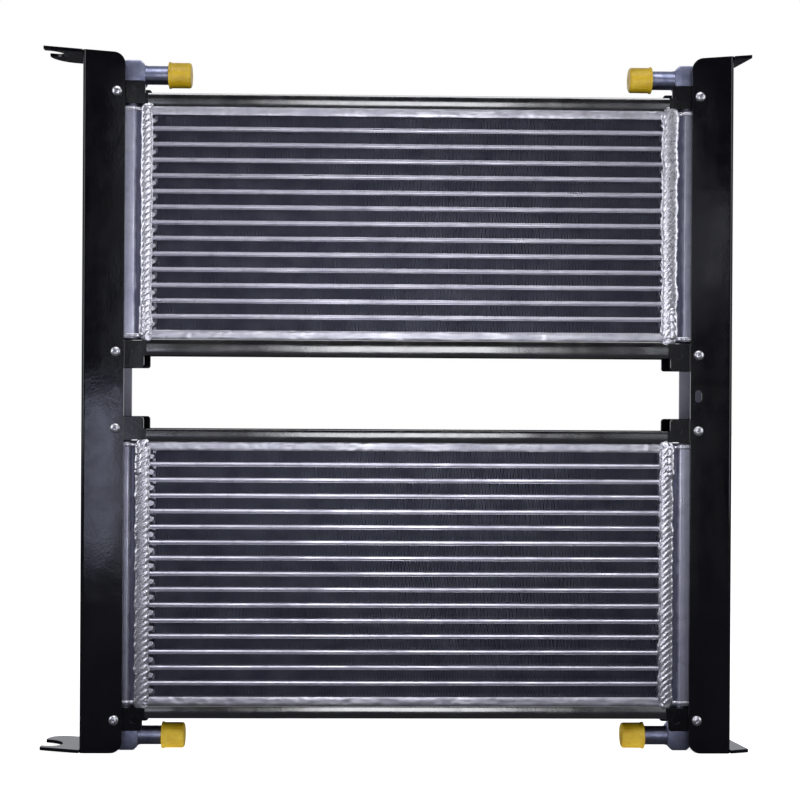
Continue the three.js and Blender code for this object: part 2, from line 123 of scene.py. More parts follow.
def tidy(mesh, sharp=30):
    work = bmesh.new()
    work.from_mesh(mesh)
    bmesh.ops.recalc_face_normals(work, faces=work.faces)
    limit = math.radians(sharp)
    for face in work.faces:
        face.smooth = sharp > 0
    for edge in work.edges:
        edge.smooth = edge.calc_face_angle(math.pi) < limit
    work.to_mesh(mesh)
    work.free()
    return mesh


def piece(name, mesh, material, stands_for=(), body=BODY):
    """A named object that rides on a body, takes a finish and stands for CAD nodes, which it hides."""
    made = bpy.data.objects.new(name, mesh)
    bpy.context.scene.collection.objects.link(made)
    made.data.materials.clear()
    made.data.materials.append(material)
    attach(made, body)
    if stands_for:
        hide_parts(*stands_for)
    return made


def round_ring(centre, radius, sides, along="x", turn=0.0):
    """A circle of points round an axis through the centre."""
    points = []
    for i in range(sides):
        angle = 2 * math.pi * i / sides + turn
        a, b = radius * math.cos(angle), radius * math.sin(angle)
        offset = {"x": (0, a, b), "y": (b, 0, a), "z": (a, b, 0)}[along]
        points.append(Vector(centre) + Vector(offset))
    return points


def lathe(shape, profile, centre, sides, along="x", sign=1, wrap=False):
    """Turns a profile of (distance along the axis, radius) round that axis."""
    axis = Vector({"x": (1, 0, 0), "y": (0, 1, 0), "z": (0, 0, 1)}[along]) * sign
    rings = [round_ring(Vector(centre) + axis * s, r, sides, along) for s, r in profile]
    return shape.loft(rings, wrap)


def solid_box(shape, low, high, bevel):
    """A box with chamfered edges, as a loft along X."""
    def loop(x, inset):
        ylow, yhigh = low[1] + inset, high[1] - inset
        zlow, zhigh = low[2] + inset, high[2] - inset
        c = bevel
        return [Vector((x, y, z)) for y, z in (
            (ylow + c, zlow), (yhigh - c, zlow), (yhigh, zlow + c), (yhigh, zhigh - c),
            (yhigh - c, zhigh), (ylow + c, zhigh), (ylow, zhigh - c), (ylow, zlow + c))]
    rings = [loop(low[0], bevel), loop(low[0] + bevel, 0), loop(high[0] - bevel, 0), loop(high[0], bevel)]
    return shape.loft(rings)


def boolean(mesh, other, operation):
    """The mesh joined with or cut by another, as a new mesh."""
    first = bpy.data.objects.new("first", mesh)
    second = bpy.data.objects.new("second", other)
    for made in (first, second):
        bpy.context.scene.collection.objects.link(made)
    modifier = first.modifiers.new("boolean", "BOOLEAN")
    modifier.object = second
    modifier.operation = operation
    modifier.solver = "EXACT"
    bpy.context.view_layer.update()
    result = bpy.data.meshes.new_from_object(first.evaluated_get(bpy.context.evaluated_depsgraph_get()))
    for made in (first, second):
        bpy.data.objects.remove(made)
    return result


def wander(position, seed, scale):
    """A smooth value between about -1 and 1 that drifts along a line."""
    return noise.noise(Vector((position * scale, seed * 7.31, 0.0)))


# ---- materials ---------------------------------------------------------------------------------------

class Finish:
    """Builds one procedural material. Textures are laid out in the object's own metres."""

    def __init__(self, name):
        self.material = bpy.data.materials.new(name)
        self.material.use_nodes = True
        self.tree = self.material.node_tree
        self.shader = self.tree.nodes["Principled BSDF"]
        self.place = self.node("ShaderNodeTexCoord").outputs["Object"]

    def node(self, kind, **settings):
        made = self.tree.nodes.new(kind)
        for key, value in settings.items():
            setattr(made, key, value)
        return made

    def link(self, source, target):
        if isinstance(source, (int, float, tuple)):
            target.default_value = source
        else:
            self.tree.links.new(source, target)

    def noise(self, scale, detail=3.0, stretch=(1, 1, 1), rough=0.5, warp=0.0):
        """Grey noise with that many features to the metre, drawn out along an axis by a small stretch."""
        mapping = self.node("ShaderNodeMapping")
        mapping.inputs["Scale"].default_value = stretch
        self.link(self.place, mapping.inputs["Vector"])
        made = self.node("ShaderNodeTexNoise")
        made.inputs["Scale"].default_value = scale
        made.inputs["Detail"].default_value = detail
        made.inputs["Roughness"].default_value = rough
        made.inputs["Distortion"].default_value = warp
        self.link(mapping.outputs[0], made.inputs["Vector"])
        return made.outputs["Fac"]

    def cells(self, scale):
        """Distance to the nearest of scattered points."""
        made = self.node("ShaderNodeTexVoronoi")
        made.inputs["Scale"].default_value = scale
        self.link(self.place, made.inputs["Vector"])
        return made.outputs["Distance"]

    def span(self, value, low, high, to_low=0.0, to_high=1.0):
        """The value remapped from one range to another, and held inside it."""
        made = self.node("ShaderNodeMapRange")
        for key, number in (("From Min", low), ("From Max", high), ("To Min", to_low), ("To Max", to_high)):
            made.inputs[key].default_value = number
        self.link(value, made.inputs["Value"])
        return made.outputs["Result"]

    def math(self, operation, first, second=0.0):
        made = self.node("ShaderNodeMath", operation=operation)
        self.link(first, made.inputs[0])
        self.link(second, made.inputs[1])
        return made.outputs[0]

    def mix(self, factor, first, second):
        """Blends two colours."""
        made = self.node("ShaderNodeMix", data_type="RGBA")
        self.link(factor, made.inputs["Factor"])
        for colour, socket in ((first, made.inputs[6]), (second, made.inputs[7])):
            self.link((*colour, 1.0) if isinstance(colour, tuple) else colour, socket)
        return made.outputs[2]

    def edges(self, radius, amount=0.02):
        """1 along convex and concave edges, 0 on open faces."""
        bevel = self.node("ShaderNodeBevel", samples=4)
        bevel.inputs["Radius"].default_value = radius
        geometry = self.node("ShaderNodeNewGeometry")
        dot = self.node("ShaderNodeVectorMath", operation="DOT_PRODUCT")
        self.link(bevel.outputs[0], dot.inputs[0])
        self.link(geometry.outputs["Normal"], dot.inputs[1])
        return self.span(dot.outputs["Value"], 1.0 - amount, 1.0, 1.0, 0.0)

    def along(self, axis):
        """The coordinate along one axis of the object, in metres."""
        split = self.node("ShaderNodeSeparateXYZ")
        self.link(self.place, split.inputs[0])
        return split.outputs[axis]

    def band(self, value, low, high, soft):
        """1 between two values, 0 outside them, with soft sides."""
        return self.math("MULTIPLY", self.span(value, low - soft, low + soft),
                         self.span(value, high - soft, high + soft, 1.0, 0.0))

    def bump(self, height, strength, distance, under=None):
        made = self.node("ShaderNodeBump")
        made.inputs["Strength"].default_value = strength
        made.inputs["Distance"].default_value = distance
        self.link(height, made.inputs["Height"])
        if under is not None:
            self.link(under, made.inputs["Normal"])
        return made.outputs[0]

    def done(self, colour, roughness, normal=None, metallic=0.0, **others):
        self.link(colour, self.shader.inputs["Base Color"])
        self.link(roughness, self.shader.inputs["Roughness"])
        self.shader.inputs["Metallic"].default_value = metallic
        if normal is not None:
            self.link(normal, self.shader.inputs["Normal"])
        for key, value in others.items():
            self.link(value, self.shader.inputs[key.replace("_", " ")])
        return self.material


def frame_paint(name, rough, index, rear_sheen=False):
    """Glossy black paint: orange peel, rubbed edges, faint marks. With the rear sheen, the rear flanges'
    inner face is painted a lilac-grey sheen.
    """
    f = Finish(name)
    cloud = f.noise(9, 4)
    streaks = f.noise(60, 4, stretch=(1, 1, 0.08), rough=0.6)
    dust = f.span(f.noise(900, 2), 0.62, 0.72)
    worn = f.math("MULTIPLY", f.edges(0.0007), f.span(f.noise(120, 4), 0.50, 0.66))
    colour = f.mix(cloud, (0.0006, 0.0006, 0.0012), (0.002, 0.002, 0.0035))
    colour = f.mix(f.math("MULTIPLY", dust, 0.03), colour, (0.16, 0.16, 0.19))
    colour = f.mix(f.math("MULTIPLY", worn, 0.25), colour, (0.11, 0.11, 0.13))
    roughness = f.math("ADD", f.span(cloud, 0.3, 0.7, rough, rough + 0.06),
                       f.span(streaks, 0.45, 0.75, 0.0, 0.06))
    smudge = f.span(f.noise(30, 4, rough=0.6, warp=0.4), 0.42, 0.62, 0.0, 0.045)
    roughness = f.math("ADD", roughness, smudge)
    # Painted sheen: the rear flanges' inner face is painted lilac-grey and made rougher, standing for the
    # light it reflects.
    if rear_sheen:
        inside = f.math("MULTIPLY", f.band(f.along("Y"), *REAR_SHEEN_Y, 0.3 * MM),
                        f.span(cloud, 0.3, 0.7, 0.5, 1.0))
        colour = f.mix(inside, colour, (0.36, 0.36, 0.46))
        roughness = f.math("ADD", roughness, f.math("MULTIPLY", inside, 0.4))
    waves = f.bump(f.noise(16, 2), 0.25, 0.0016)
    peel = f.bump(f.noise(420, 2), 0.06, 0.0004, waves)
    return f.done(colour, roughness, peel, 0.0, IOR=index)


def aluminium(name, light, dark, rough, grain, heat_and_reflection_band=None):
    """Mill-finish aluminium: drawn grain, cloudy tone, small stains. Its last argument is a range of X greyed
    by heat and also darkened as a painted dark reflection.
    """
    f = Finish(name)
    cloud = f.noise(26, 5, rough=0.6)
    lines = f.noise(500, 3, stretch=grain)
    stain = f.span(f.noise(75, 5, rough=0.65, warp=0.6), 0.52, 0.68)
    colour = f.mix(f.span(cloud, 0.3, 0.7), dark, light)
    colour = f.mix(f.math("MULTIPLY", stain, 0.35), colour, tuple(c * 0.62 for c in dark))
    roughness = f.math("ADD", f.span(cloud, 0.3, 0.7, rough + 0.1, rough - 0.06),
                       f.span(lines, 0.3, 0.7, -0.05, 0.08))
    # The band beside a seam: heat-greyed metal, darkened further as a painted dark reflection.
    if heat_and_reflection_band:
        ragged = f.math("ADD", f.along("X"), f.span(f.noise(70, 3), 0.3, 0.7, -0.001, 0.001))
        heat_and_reflection = f.band(ragged, min(heat_and_reflection_band), max(heat_and_reflection_band), 0.0012)
        colour = f.mix(f.math("MULTIPLY", heat_and_reflection, 0.9), colour, (0.085, 0.09, 0.145))
        roughness = f.math("ADD", roughness, f.math("MULTIPLY", heat_and_reflection, 0.12))
    normal = f.bump(lines, 0.22, 0.00015)
    normal = f.bump(f.noise(180, 4), 0.25, 0.0003, normal)
    return f.done(colour, roughness, normal, 1.0)


def tank_metal(cooler, side):
    """The tank's metal, darkened per tank as painted shade, with a band just outside its weld greyed by the
    seam's heat and darkened further as a painted dark reflection.
    """
    width, outboard = SEAMS[cooler, side]
    sign = SIDES[side]
    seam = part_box(f"core_{cooler}")[1 if sign > 0 else 0].x + sign * (outboard + width / 2)
    # Painted shade: this tank's copy of the metal is darkened by its factor.
    tone = TANK_SHADES[cooler, side]
    light, dark = [tuple(tone * c for c in colour) for colour in ((0.70, 0.71, 0.84), (0.50, 0.51, 0.66))]
    heat_and_reflection_band = (seam - sign * 1.5 * MM, seam + sign * 4.8 * MM)
    return aluminium(f"tank_aluminium_{cooler}_{side}", light, dark, 0.34, (1, 1, 0.03), heat_and_reflection_band)


def weld_metal():
    """Bright, finely crinkled TIG weld with sooty valleys."""
    f = Finish("weld_aluminium")
    crinkle = f.noise(650, 4, rough=0.65)
    soot = f.span(f.noise(140, 4), 0.55, 0.72)
    colour = f.mix(crinkle, (0.66, 0.66, 0.74), (0.90, 0.90, 0.96))
    colour = f.mix(f.math("MULTIPLY", soot, 0.4), colour, (0.34, 0.34, 0.42))
    roughness = f.span(crinkle, 0.3, 0.7, 0.22, 0.42)
    return f.done(colour, roughness, f.bump(crinkle, 0.5, 0.0003), 1.0)


def fin_aluminium():
    """Thin fin stock, painted a dark blue-grey that stands for the shade deep in the core."""
    f = Finish("fin_aluminium")
    cloud = f.noise(40, 4)
    speckle = f.noise(900, 2)
    colour = f.mix(f.span(cloud, 0.3, 0.7), (0.20, 0.21, 0.31), (0.36, 0.38, 0.50))
    colour = f.mix(f.span(speckle, 0.55, 0.75, 0.0, 0.5), colour, (0.50, 0.51, 0.62))
    roughness = f.span(speckle, 0.3, 0.7, 0.36, 0.55)
    return f.done(colour, roughness, f.bump(speckle, 0.3, 0.0002), 1.0)


def zinc_plate(name, light, dark, rough):
    """Zinc plating over forged or headed steel: mottled, faintly crystalline."""
    f = Finish(name)
    spangle = f.cells(420)
    cloud = f.noise(110, 5, rough=0.65)
    colour = f.mix(f.span(cloud, 0.35, 0.65), dark, light)
    colour = f.mix(f.math("MULTIPLY", f.span(spangle, 0.1, 0.6), 0.3), colour, dark)
    roughness = f.math("ADD", f.span(cloud, 0.3, 0.7, rough + 0.1, rough), f.span(spangle, 0, 0.7, 0, 0.06))
    normal = f.bump(f.noise(320, 4, rough=0.7), 0.35, 0.0004)
    return f.done(colour, roughness, normal, 1.0)


def seal_rubber():
    f = Finish("seal_rubber")
    bloom = f.noise(300, 4)
    colour = f.mix(bloom, (0.012, 0.012, 0.013), (0.035, 0.035, 0.038))
    return f.done(colour, f.span(bloom, 0.3, 0.7, 0.6, 0.8), f.bump(f.noise(900, 2), 0.3, 0.0002))


def cap_plastic():
    """Soft amber polyethylene: waxy, slightly see-into, scuffed."""
    f = Finish("cap_plastic")
    cloud = f.noise(90, 4)
    scuff = f.span(f.noise(380, 4, stretch=(0.25, 1, 1), rough=0.7), 0.56, 0.7)
    colour = f.mix(f.span(cloud, 0.3, 0.7), (0.40, 0.25, 0.004), (0.55, 0.38, 0.015))
    colour = f.mix(f.math("MULTIPLY", scuff, 0.3), colour, (0.75, 0.60, 0.15))
    roughness = f.math("ADD", f.span(cloud, 0.3, 0.7, 0.32, 0.42), f.math("MULTIPLY", scuff, 0.2))
    normal = f.bump(f.noise(260, 3), 0.2, 0.0003)
    return f.done(colour, roughness, normal, 0.0, Subsurface_Weight=0.12,
                  Subsurface_Scale=0.003, Subsurface_Radius=(1.0, 0.55, 0.1))


def studio_floor():
    """Pale and matt where it is seen, darker where it is only mirrored."""
    f = Finish("studio_floor")
    tone = f.noise(3, 2)
    colour = f.mix(tone, (0.86, 0.86, 0.87), (0.90, 0.90, 0.905))
    f.done(colour, 0.7, f.bump(f.noise(60, 2), 0.05, 0.001),
           Emission_Color=(1.0, 1.0, 1.0, 1.0), Emission_Strength=0.9)
    mirrored = f.node("ShaderNodeBsdfDiffuse")
    mirrored.inputs["Color"].default_value = (0.10, 0.10, 0.11, 1.0)
    choose = f.node("ShaderNodeMixShader")
    f.link(f.node("ShaderNodeLightPath").outputs["Is Glossy Ray"], choose.inputs["Fac"])
    f.link(f.shader.outputs[0], choose.inputs[1])
    f.link(mirrored.outputs[0], choose.inputs[2])
    f.link(choose.outputs[0], f.tree.nodes["Material Output"].inputs["Surface"])
    return f.material


PAINT = frame_paint("frame_paint", 0.08, 1.5)
# The rails' paint carries the painted lilac-grey sheen on the rear flanges' inner face.
RAIL_PAINT = frame_paint("rail_paint", 0.07, 1.5, True)
BAR_PAINT = frame_paint("bar_paint", 0.10, 2.8)
TANK_METAL = {fitting: tank_metal(*fitting) for fitting in FITTINGS}
PLATE_METAL = aluminium("plate_aluminium", (0.84, 0.84, 0.91), (0.60, 0.60, 0.70), 0.36, (0.03, 1, 1))
NOSE_METAL = aluminium("nose_aluminium", (0.88, 0.88, 0.94), (0.62, 0.63, 0.72), 0.36, (1, 1, 1))
PASSAGE_METAL = aluminium("passage_aluminium", (0.80, 0.80, 0.89), (0.62, 0.62, 0.73), 0.34, (0.02, 1, 1))
WELD_METAL = weld_metal()
FIN_METAL = fin_aluminium()
FORGED_ZINC = zinc_plate("forged_zinc", (0.42, 0.44, 0.60), (0.22, 0.24, 0.37), 0.30)
SCREW_ZINC = zinc_plate("screw_zinc", (0.88, 0.88, 0.92), (0.66, 0.66, 0.72), 0.22)
RUBBER = seal_rubber()
AMBER = cap_plastic()


# ---- frame: rails, feet and cross bars ---------------------------------------------------------------

def clean_copy(name):
    """A CAD node's mesh as a new one: corners joined, flat faces whole, and no stored normals."""
    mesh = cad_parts[name].data.copy()
    if "custom_normal" in mesh.attributes:
        mesh.attributes.remove(mesh.attributes["custom_normal"])
    work = bmesh.new()
    work.from_mesh(mesh)
    bmesh.ops.remove_doubles(work, verts=work.verts, dist=0.02 * MM)
    bmesh.ops.dissolve_limit(work, angle_limit=math.radians(1), verts=work.verts, edges=work.edges)
    work.to_mesh(mesh)
    work.free()
    return mesh


def soften(made, width):
    """Rounds a piece's edges and shades its flat faces flat."""
    bevel = made.modifiers.new("bevel", "BEVEL")
    bevel.width = width
    bevel.segments = 2
    bevel.limit_method = "ANGLE"
    bevel.angle_limit = math.radians(40)
    bevel.use_clamp_overlap = True
    normals = made.modifiers.new("normals", "WEIGHTED_NORMAL")
    normals.weight = 100
    normals.keep_sharp = False


def add_frame_part(name, new_name, paint):
    made = piece(new_name, tidy(clean_copy(name), 35), paint, [name])
    soften(made, 0.4 * MM)


def add_frame():
    for side in SIDES:
        add_frame_part(f"rail_{side}", f"side_rail_{side}", RAIL_PAINT)
        for end in ENDS:
            add_frame_part(f"foot_{end}_{side}", f"foot_plate_{end}_{side}", PAINT)


EAR_RISE = 12.2 * MM         # from a cross bar's free edge to its ears' free edge
BAR_REACH = 262 * MM         # from the coolers' middle to where a bar's flanges meet its ears
BAR_WALL = 3 * MM
BAR_STATIONS = 90            # sections along a bar
BAR_EDGE = 0.7 * MM          # radius at a flange's two edges
BAR_TURN = math.radians(21)  # how far a flange's face has turned away at its edges
BAR_CROWN = math.radians(9)  # and at the sides of its nearly flat middle


def flange_line(height):
    """A bar's flange in section: (outwards, away from the web), from the web round to the inner face."""
    edge = BAR_EDGE * (1 - math.sin(BAR_TURN))
    flank = 0.27 * height
    turns = [(-math.pi / 2, -BAR_TURN, edge, 5), (-BAR_TURN, -BAR_CROWN, flank, 6),
             (-BAR_CROWN, BAR_CROWN, height - 2 * edge - 1.7 * flank, 12),
             (BAR_CROWN, BAR_TURN, 0.7 * flank, 5), (BAR_TURN, math.pi / 2, edge, 5)]
    line, out, away = [], 0.0, 0.0
    for start, end, run, steps in turns:
        radius = run / (math.sin(end) - math.sin(start))
        for step in range(steps):
            here = start + (end - start) * (step + 0.5) / steps
            line.append((out + radius * (math.cos(here) - math.cos(start)),
                         away + radius * (math.sin(here) - math.sin(start))))
        out += radius * (math.cos(end) - math.cos(start))
        away += run
    peak = max(point[0] for point in line)
    line = [(reach - peak, level) for reach, level in line]
    return line + [(-BAR_WALL, height), (-BAR_WALL, BAR_WALL + 1 * MM), (-BAR_WALL - 1 * MM, BAR_WALL)]


def bar_channel(low, high, web, up):
    """The bar between its ears: a folded channel whose flanges lean and wave a little."""
    line = flange_line(high.z - low.z - EAR_RISE)
    rings = []
    for station in range(BAR_STATIONS + 1):
        x = MIDDLE + BAR_REACH * (2 * station / BAR_STATIONS - 1)
        lean = 0.022 * wander(x, web * 9, 11)
        wave = 0.12 * MM * wander(x, web * 9 + 4, 23)
        front = [Vector((x, low.y - out - wave - lean * away, web + up * away)) for out, away in line]
        rear = [Vector((x, high.y + out + wave + lean * away, web + up * away)) for out, away in line]
        rings.append(front + list(reversed(rear)))
    return Shape().loft(rings).mesh("channel")


def add_cross_bar(cooler, end):
    """The CAD bar's ears, with the folded channel between them."""
    name = f"cross_bar_{cooler}_{end}"
    low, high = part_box(name)
    up = ENDS[end]
    web = low.z if up > 0 else high.z
    plain = clean_copy(name)
    between = Shape()
    reach = BAR_REACH - 0.4 * MM
    solid_box(between, (MIDDLE - reach, low.y - 5 * MM, low.z - 5 * MM),
              (MIDDLE + reach, high.y + 5 * MM, high.z + 5 * MM), 1 * MM)
    ears = boolean(plain, between.mesh("between"), "DIFFERENCE")
    mesh = tidy(boolean(ears, bar_channel(low, high, web, up), "UNION"), 35)
    made = piece(name.replace("cross_bar", "cross_beam"), mesh, PAINT, [name])
    made.data.materials.append(BAR_PAINT)
    for face in made.data.polygons:
        on_flange = abs(face.center.x - MIDDLE) < BAR_REACH and face.center.y < low.y + BAR_WALL
        face.material_index = int(on_flange)
    soften(made, 0.4 * MM)


# ---- cores -------------------------------------------------------------------------------------------

FIN_ROW = 11.4 * MM
PASSAGE = 4.25 * MM
FIN_RECESS = 3 * MM
FIN_PITCH = 2.8 * MM
FIN_THICK = 0.11 * MM        # half the stock's thickness
FIN_BENDS = [(0.0, 0.0), (0.22, 1.5 * MM), (0.62, -1.5 * MM), (1.0, 0.3 * MM)]   # (share of depth, X shift)
BAR_NOSE = 9.2 * MM          # from the core's end to the tip of a closing bar's nose


def passage_levels(cooler):
    """Middle heights of a core's oil passages, and of the fin rows between them."""
    low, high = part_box(f"core_{cooler}")
    pitch = FIN_ROW + PASSAGE
    rows = round((high.z - low.z + PASSAGE) / pitch)
    fins = [low.z + FIN_ROW / 2 + row * pitch for row in range(rows)]
    passages = [level + pitch / 2 for level in fins[:-1]]
    return passages, fins


def passage_section(front, back):
    """Outline in Y and Z of a passage: two plates with a rounded bar between them at front and back."""
    half = PASSAGE / 2
    lip = 0.45 * MM
    nose = [(0.35 * MM, half), (0.35 * MM, half - lip), (0.9 * MM, half - lip - 0.12 * MM),
            (0.45 * MM, half - lip - 0.3 * MM), (0.1 * MM, half * 0.42), (0.0, half * 0.14)]
    nose += [(depth, -level) for depth, level in reversed(nose)]
    outline = [(front + depth, level) for depth, level in nose]
    return outline + [(back - depth, level) for depth, level in reversed(nose)]


def add_passages(cooler):
    low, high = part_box(f"core_{cooler}")
    outline = passage_section(low.y, high.y)
    shape = Shape()
    stations = 40
    passages, _ = passage_levels(cooler)
    for number, level in enumerate(passages):
        rings = []
        for step in range(stations + 1):
            x = low.x + (high.x - low.x) * step / stations
            drift = 0.16 * MM * wander(x, number + low.z, 9)
            rings.append([Vector((x, y, level + z + drift)) for y, z in outline])
        shape.loft(rings)
    piece(f"oil_passages_{cooler}", shape.mesh("passages", 24), PASSAGE_METAL,
          [f"core_{cooler}"])


def add_closing_bars(cooler):
    """The short bars that close each fin row at its two ends, with their pointed noses."""
    low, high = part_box(f"core_{cooler}")
    half = FIN_ROW / 2 - 0.05 * MM
    nose = [(0, half), (3.6 * MM, half), (4.4 * MM, half - 0.8 * MM), (4.8 * MM, 2.9 * MM),
            (7.2 * MM, 2.6 * MM), (8.6 * MM, 1.9 * MM), (BAR_NOSE - 0.3 * MM, 1.1 * MM), (BAR_NOSE, 0.4 * MM)]
    nose += [(reach, -level) for reach, level in reversed(nose)]
    body = [(reach, math.copysign(half, level)) for reach, level in nose]
    shape = Shape()
    _, fins = passage_levels(cooler)
    depth = high.y - low.y
    layers = [(0.5 * MM, nose, 0.92), (1.2 * MM, nose, 1.0), (24.0 * MM, nose, 1.0), (24.4 * MM, body, 1.0)]
    layers += [(depth - from_face, section, shrink) for from_face, section, shrink in reversed(layers)]
    for side in SIDES.values():
        end = high.x if side > 0 else low.x
        for level in fins:
            rings = []
            for from_face, section, shrink in layers:
                rings.append([Vector((end - side * reach * shrink, low.y + from_face, level + z * shrink))
                              for reach, z in section])
            shape.loft(rings)
    piece(f"closing_bars_{cooler}", shape.mesh("closing_bars", 35), NOSE_METAL,
          [f"core_{cooler}"])


def fin_line(start, end, level, pitch, dice):
    """The up-and-down centre line of a corrugated fin, in X and Z."""
    half = FIN_ROW / 2 - 0.12 * MM
    line = []
    count = round((end - start) / pitch)
    for turn in range(count):
        x = start + (turn + 0.5) * (end - start) / count
        lean = dice.uniform(-0.28, 0.28) * MM
        line += [(x - 0.40 * pitch, level - half), (x - 0.12 * pitch + lean, level + half),
                 (x + 0.12 * pitch + lean, level + half), (x + 0.40 * pitch, level - half)]
    return line


def add_fins(cooler):
    """The wavy corrugated fins: each row is one closed thin strip, folded and bent along the air's way."""
    low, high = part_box(f"core_{cooler}")
    start, end = low.x + BAR_NOSE + 0.4 * MM, high.x - BAR_NOSE - 0.4 * MM
    front, back = low.y + FIN_RECESS, high.y - FIN_RECESS
    bends = [(front + share * (back - front), shift) for share, shift in FIN_BENDS]
    dice = random.Random(11 if cooler == "upper" else 23)
    shape = Shape()
    _, fins = passage_levels(cooler)
    for level in fins:
        line = fin_line(start, end, level, FIN_PITCH, dice)
        rings = []
        for number, (x, z) in enumerate(line):
            before, after = line[max(number - 1, 0)], line[min(number + 1, len(line) - 1)]
            across = Vector((before[1] - after[1], 0, after[0] - before[0])).normalized() * FIN_THICK
            side = [Vector((x + shift, y, z)) + across for y, shift in bends]
            other = [Vector((x + shift, y, z)) - across for y, shift in reversed(bends)]
            rings.append(side + other)
        shape.loft(rings)
    piece(f"air_fins_{cooler}", shape.mesh("air_fins", 0), FIN_METAL, [f"core_{cooler}"])


def add_side_plates(cooler):
    """The thick outer plates, their front and back edges lumpy from brazing and welding."""
    for end in ENDS:
        name = f"side_plate_{cooler}_{end}"
        low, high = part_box(name)
        seed = low.z * 31
        shape = Shape()
        stations = 220
        rings = []
        height = high.z - low.z
        for step in range(stations + 1):
            x = low.x + (high.x - low.x) * step / stations
            ends = 0.35 * MM if step in (0, stations) else 0
            outline = []
            for face, out in ((low.y, 1), (high.y, -1)):
                side = []
                for level in range(7):
                    t = level / 6
                    lump = 0.5 + 0.5 * noise.noise(Vector((x * 210, seed + out, t * 2.3)))
                    swell = (0.75 * lump + 0.4 * (2 * t - 1) ** 8 + ends / MM) * MM
                    side.append(Vector((x, face + out * swell, low.z + 0.05 * MM + (height - 0.1 * MM) * t)))
                outline += side if out > 0 else list(reversed(side))
            rings.append(outline)
        shape.loft(rings)
        piece(name.replace("side_plate", "core_plate"), shape.mesh("core_plate", 50), PLATE_METAL,
              [name])


# ---- tanks and welds ---------------------------------------------------------------------------------

WALL = 3 * MM
ARC_STEPS = 28
VALLEY = 5.5 * MM            # over which a tank's wall rises from the hollow beside its seam
VALLEY_DEPTH = 1.7 * MM
VALLEY_STEPS = 8


def tank_line(cooler, side, inset):
    """The D line of a tank in plan, from its front edge round to its rear edge, moved in by inset."""
    low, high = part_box(f"tank_{cooler}_{side}")
    sign = SIDES[side]
    start, tip = (low.x, high.x) if sign > 0 else (high.x, low.x)
    radius = high.y
    centre = tip - sign * radius
    width, outboard = SEAMS[cooler, side]
    foot = outboard + width / 2 + 1.5 * MM
    front = [Vector((start, -radius + inset + VALLEY_DEPTH, 0))]
    for step in range(VALLEY_STEPS + 1):
        share = step / VALLEY_STEPS
        dip = VALLEY_DEPTH * (1 - share * share * (3 - 2 * share))
        front.append(Vector((start + sign * (foot + VALLEY * share), -radius + inset + dip, 0)))
    rear = [Vector((point.x, -point.y, 0)) for point in reversed(front)]
    arc = []
    for step in range(ARC_STEPS + 1):
        angle = math.pi * (step / ARC_STEPS - 0.5)
        reach = radius - inset
        arc.append(Vector((centre + sign * reach * math.cos(angle), reach * math.sin(angle), 0)))
    return front + arc + rear


def add_tank_shell(cooler, side):
    name = f"tank_{cooler}_{side}"
    low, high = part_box(name)
    outer, inner = tank_line(cooler, side, 0), tank_line(cooler, side, WALL)
    soft = 0.4 * MM
    rings = []
    for out, into in zip(outer, inner):
        inward = (into - out).normalized() * soft
        rings.append([out + Vector((0, 0, low.z + soft)), out + inward + Vector((0, 0, low.z)),
                      into + Vector((0, 0, low.z)), into + Vector((0, 0, high.z)),
                      out + inward + Vector((0, 0, high.z)), out + Vector((0, 0, high.z - soft))])
    piece(f"header_tank_{cooler}_{side}", Shape().loft(rings).mesh("tank", 40), TANK_METAL[cooler, side],
          [name])


def closed_outline(cooler, side, inset, count):
    """The tank's whole D outline as that many evenly spread points, straight core side included."""
    line = tank_line(cooler, side, inset)
    line[0].x += SIDES[side] * inset
    line[-1].x += SIDES[side] * inset
    loop = line + [line[0]]
    lengths = [0.0]
    for a, b in zip(loop, loop[1:]):
        lengths.append(lengths[-1] + (b - a).length)
    points, place = [], 0
    for i in range(count):
        distance = lengths[-1] * i / count
        while lengths[place + 1] < distance:
            place += 1
        share = (distance - lengths[place]) / (lengths[place + 1] - lengths[place])
        points.append(loop[place].lerp(loop[place + 1], share))
    return points


def add_tank_end(cooler, side, end):
    """An end plate with softened edges; on the port end it carries the weld boss and its hole."""
    name = f"tank_end_{cooler}_{side}_{end}"
    low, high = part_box(name)
    sign = ENDS[end]
    inner, outer = (low.z, low.z + WALL) if sign > 0 else (high.z, high.z - WALL)
    soft = 0.5 * MM * sign
    levels = [(inner, 0.4 * MM), (inner + soft, 0), (outer - soft, 0), (outer, 0.5 * MM)]
    rings = [[p + Vector((0, 0, level)) for p in closed_outline(cooler, side, inset, 72)]
             for level, inset in levels]
    mesh = Shape().loft(rings).mesh("tank_end", 40)
    if COOLERS[cooler] == end:
        low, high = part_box(f"seal_{cooler}_{side}")
        centre = (low + high) / 2
        boss = Shape()
        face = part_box(name)[1].z if sign > 0 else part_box(name)[0].z
        height = abs(face - outer)
        profile = [(-WALL / 2, 12.5 * MM), (height - 1 * MM, 12.5 * MM), (height - 0.3 * MM, 12.1 * MM),
                   (height, 11.5 * MM)]
        start = Vector((centre.x, centre.y, outer))
        lathe(boss, profile, start, 48, "z", sign)
        mesh = boolean(mesh, boss.mesh("boss"), "UNION")
        hole = Shape()
        lathe(hole, [(-2 * WALL, 8 * MM), (height + 2 * MM, 8 * MM)], start, 48, "z", sign)
        mesh = tidy(boolean(mesh, hole.mesh("hole"), "DIFFERENCE"), 35)
    piece(name.replace("tank_end", "tank_cover"), mesh, TANK_METAL[cooler, side], [name])


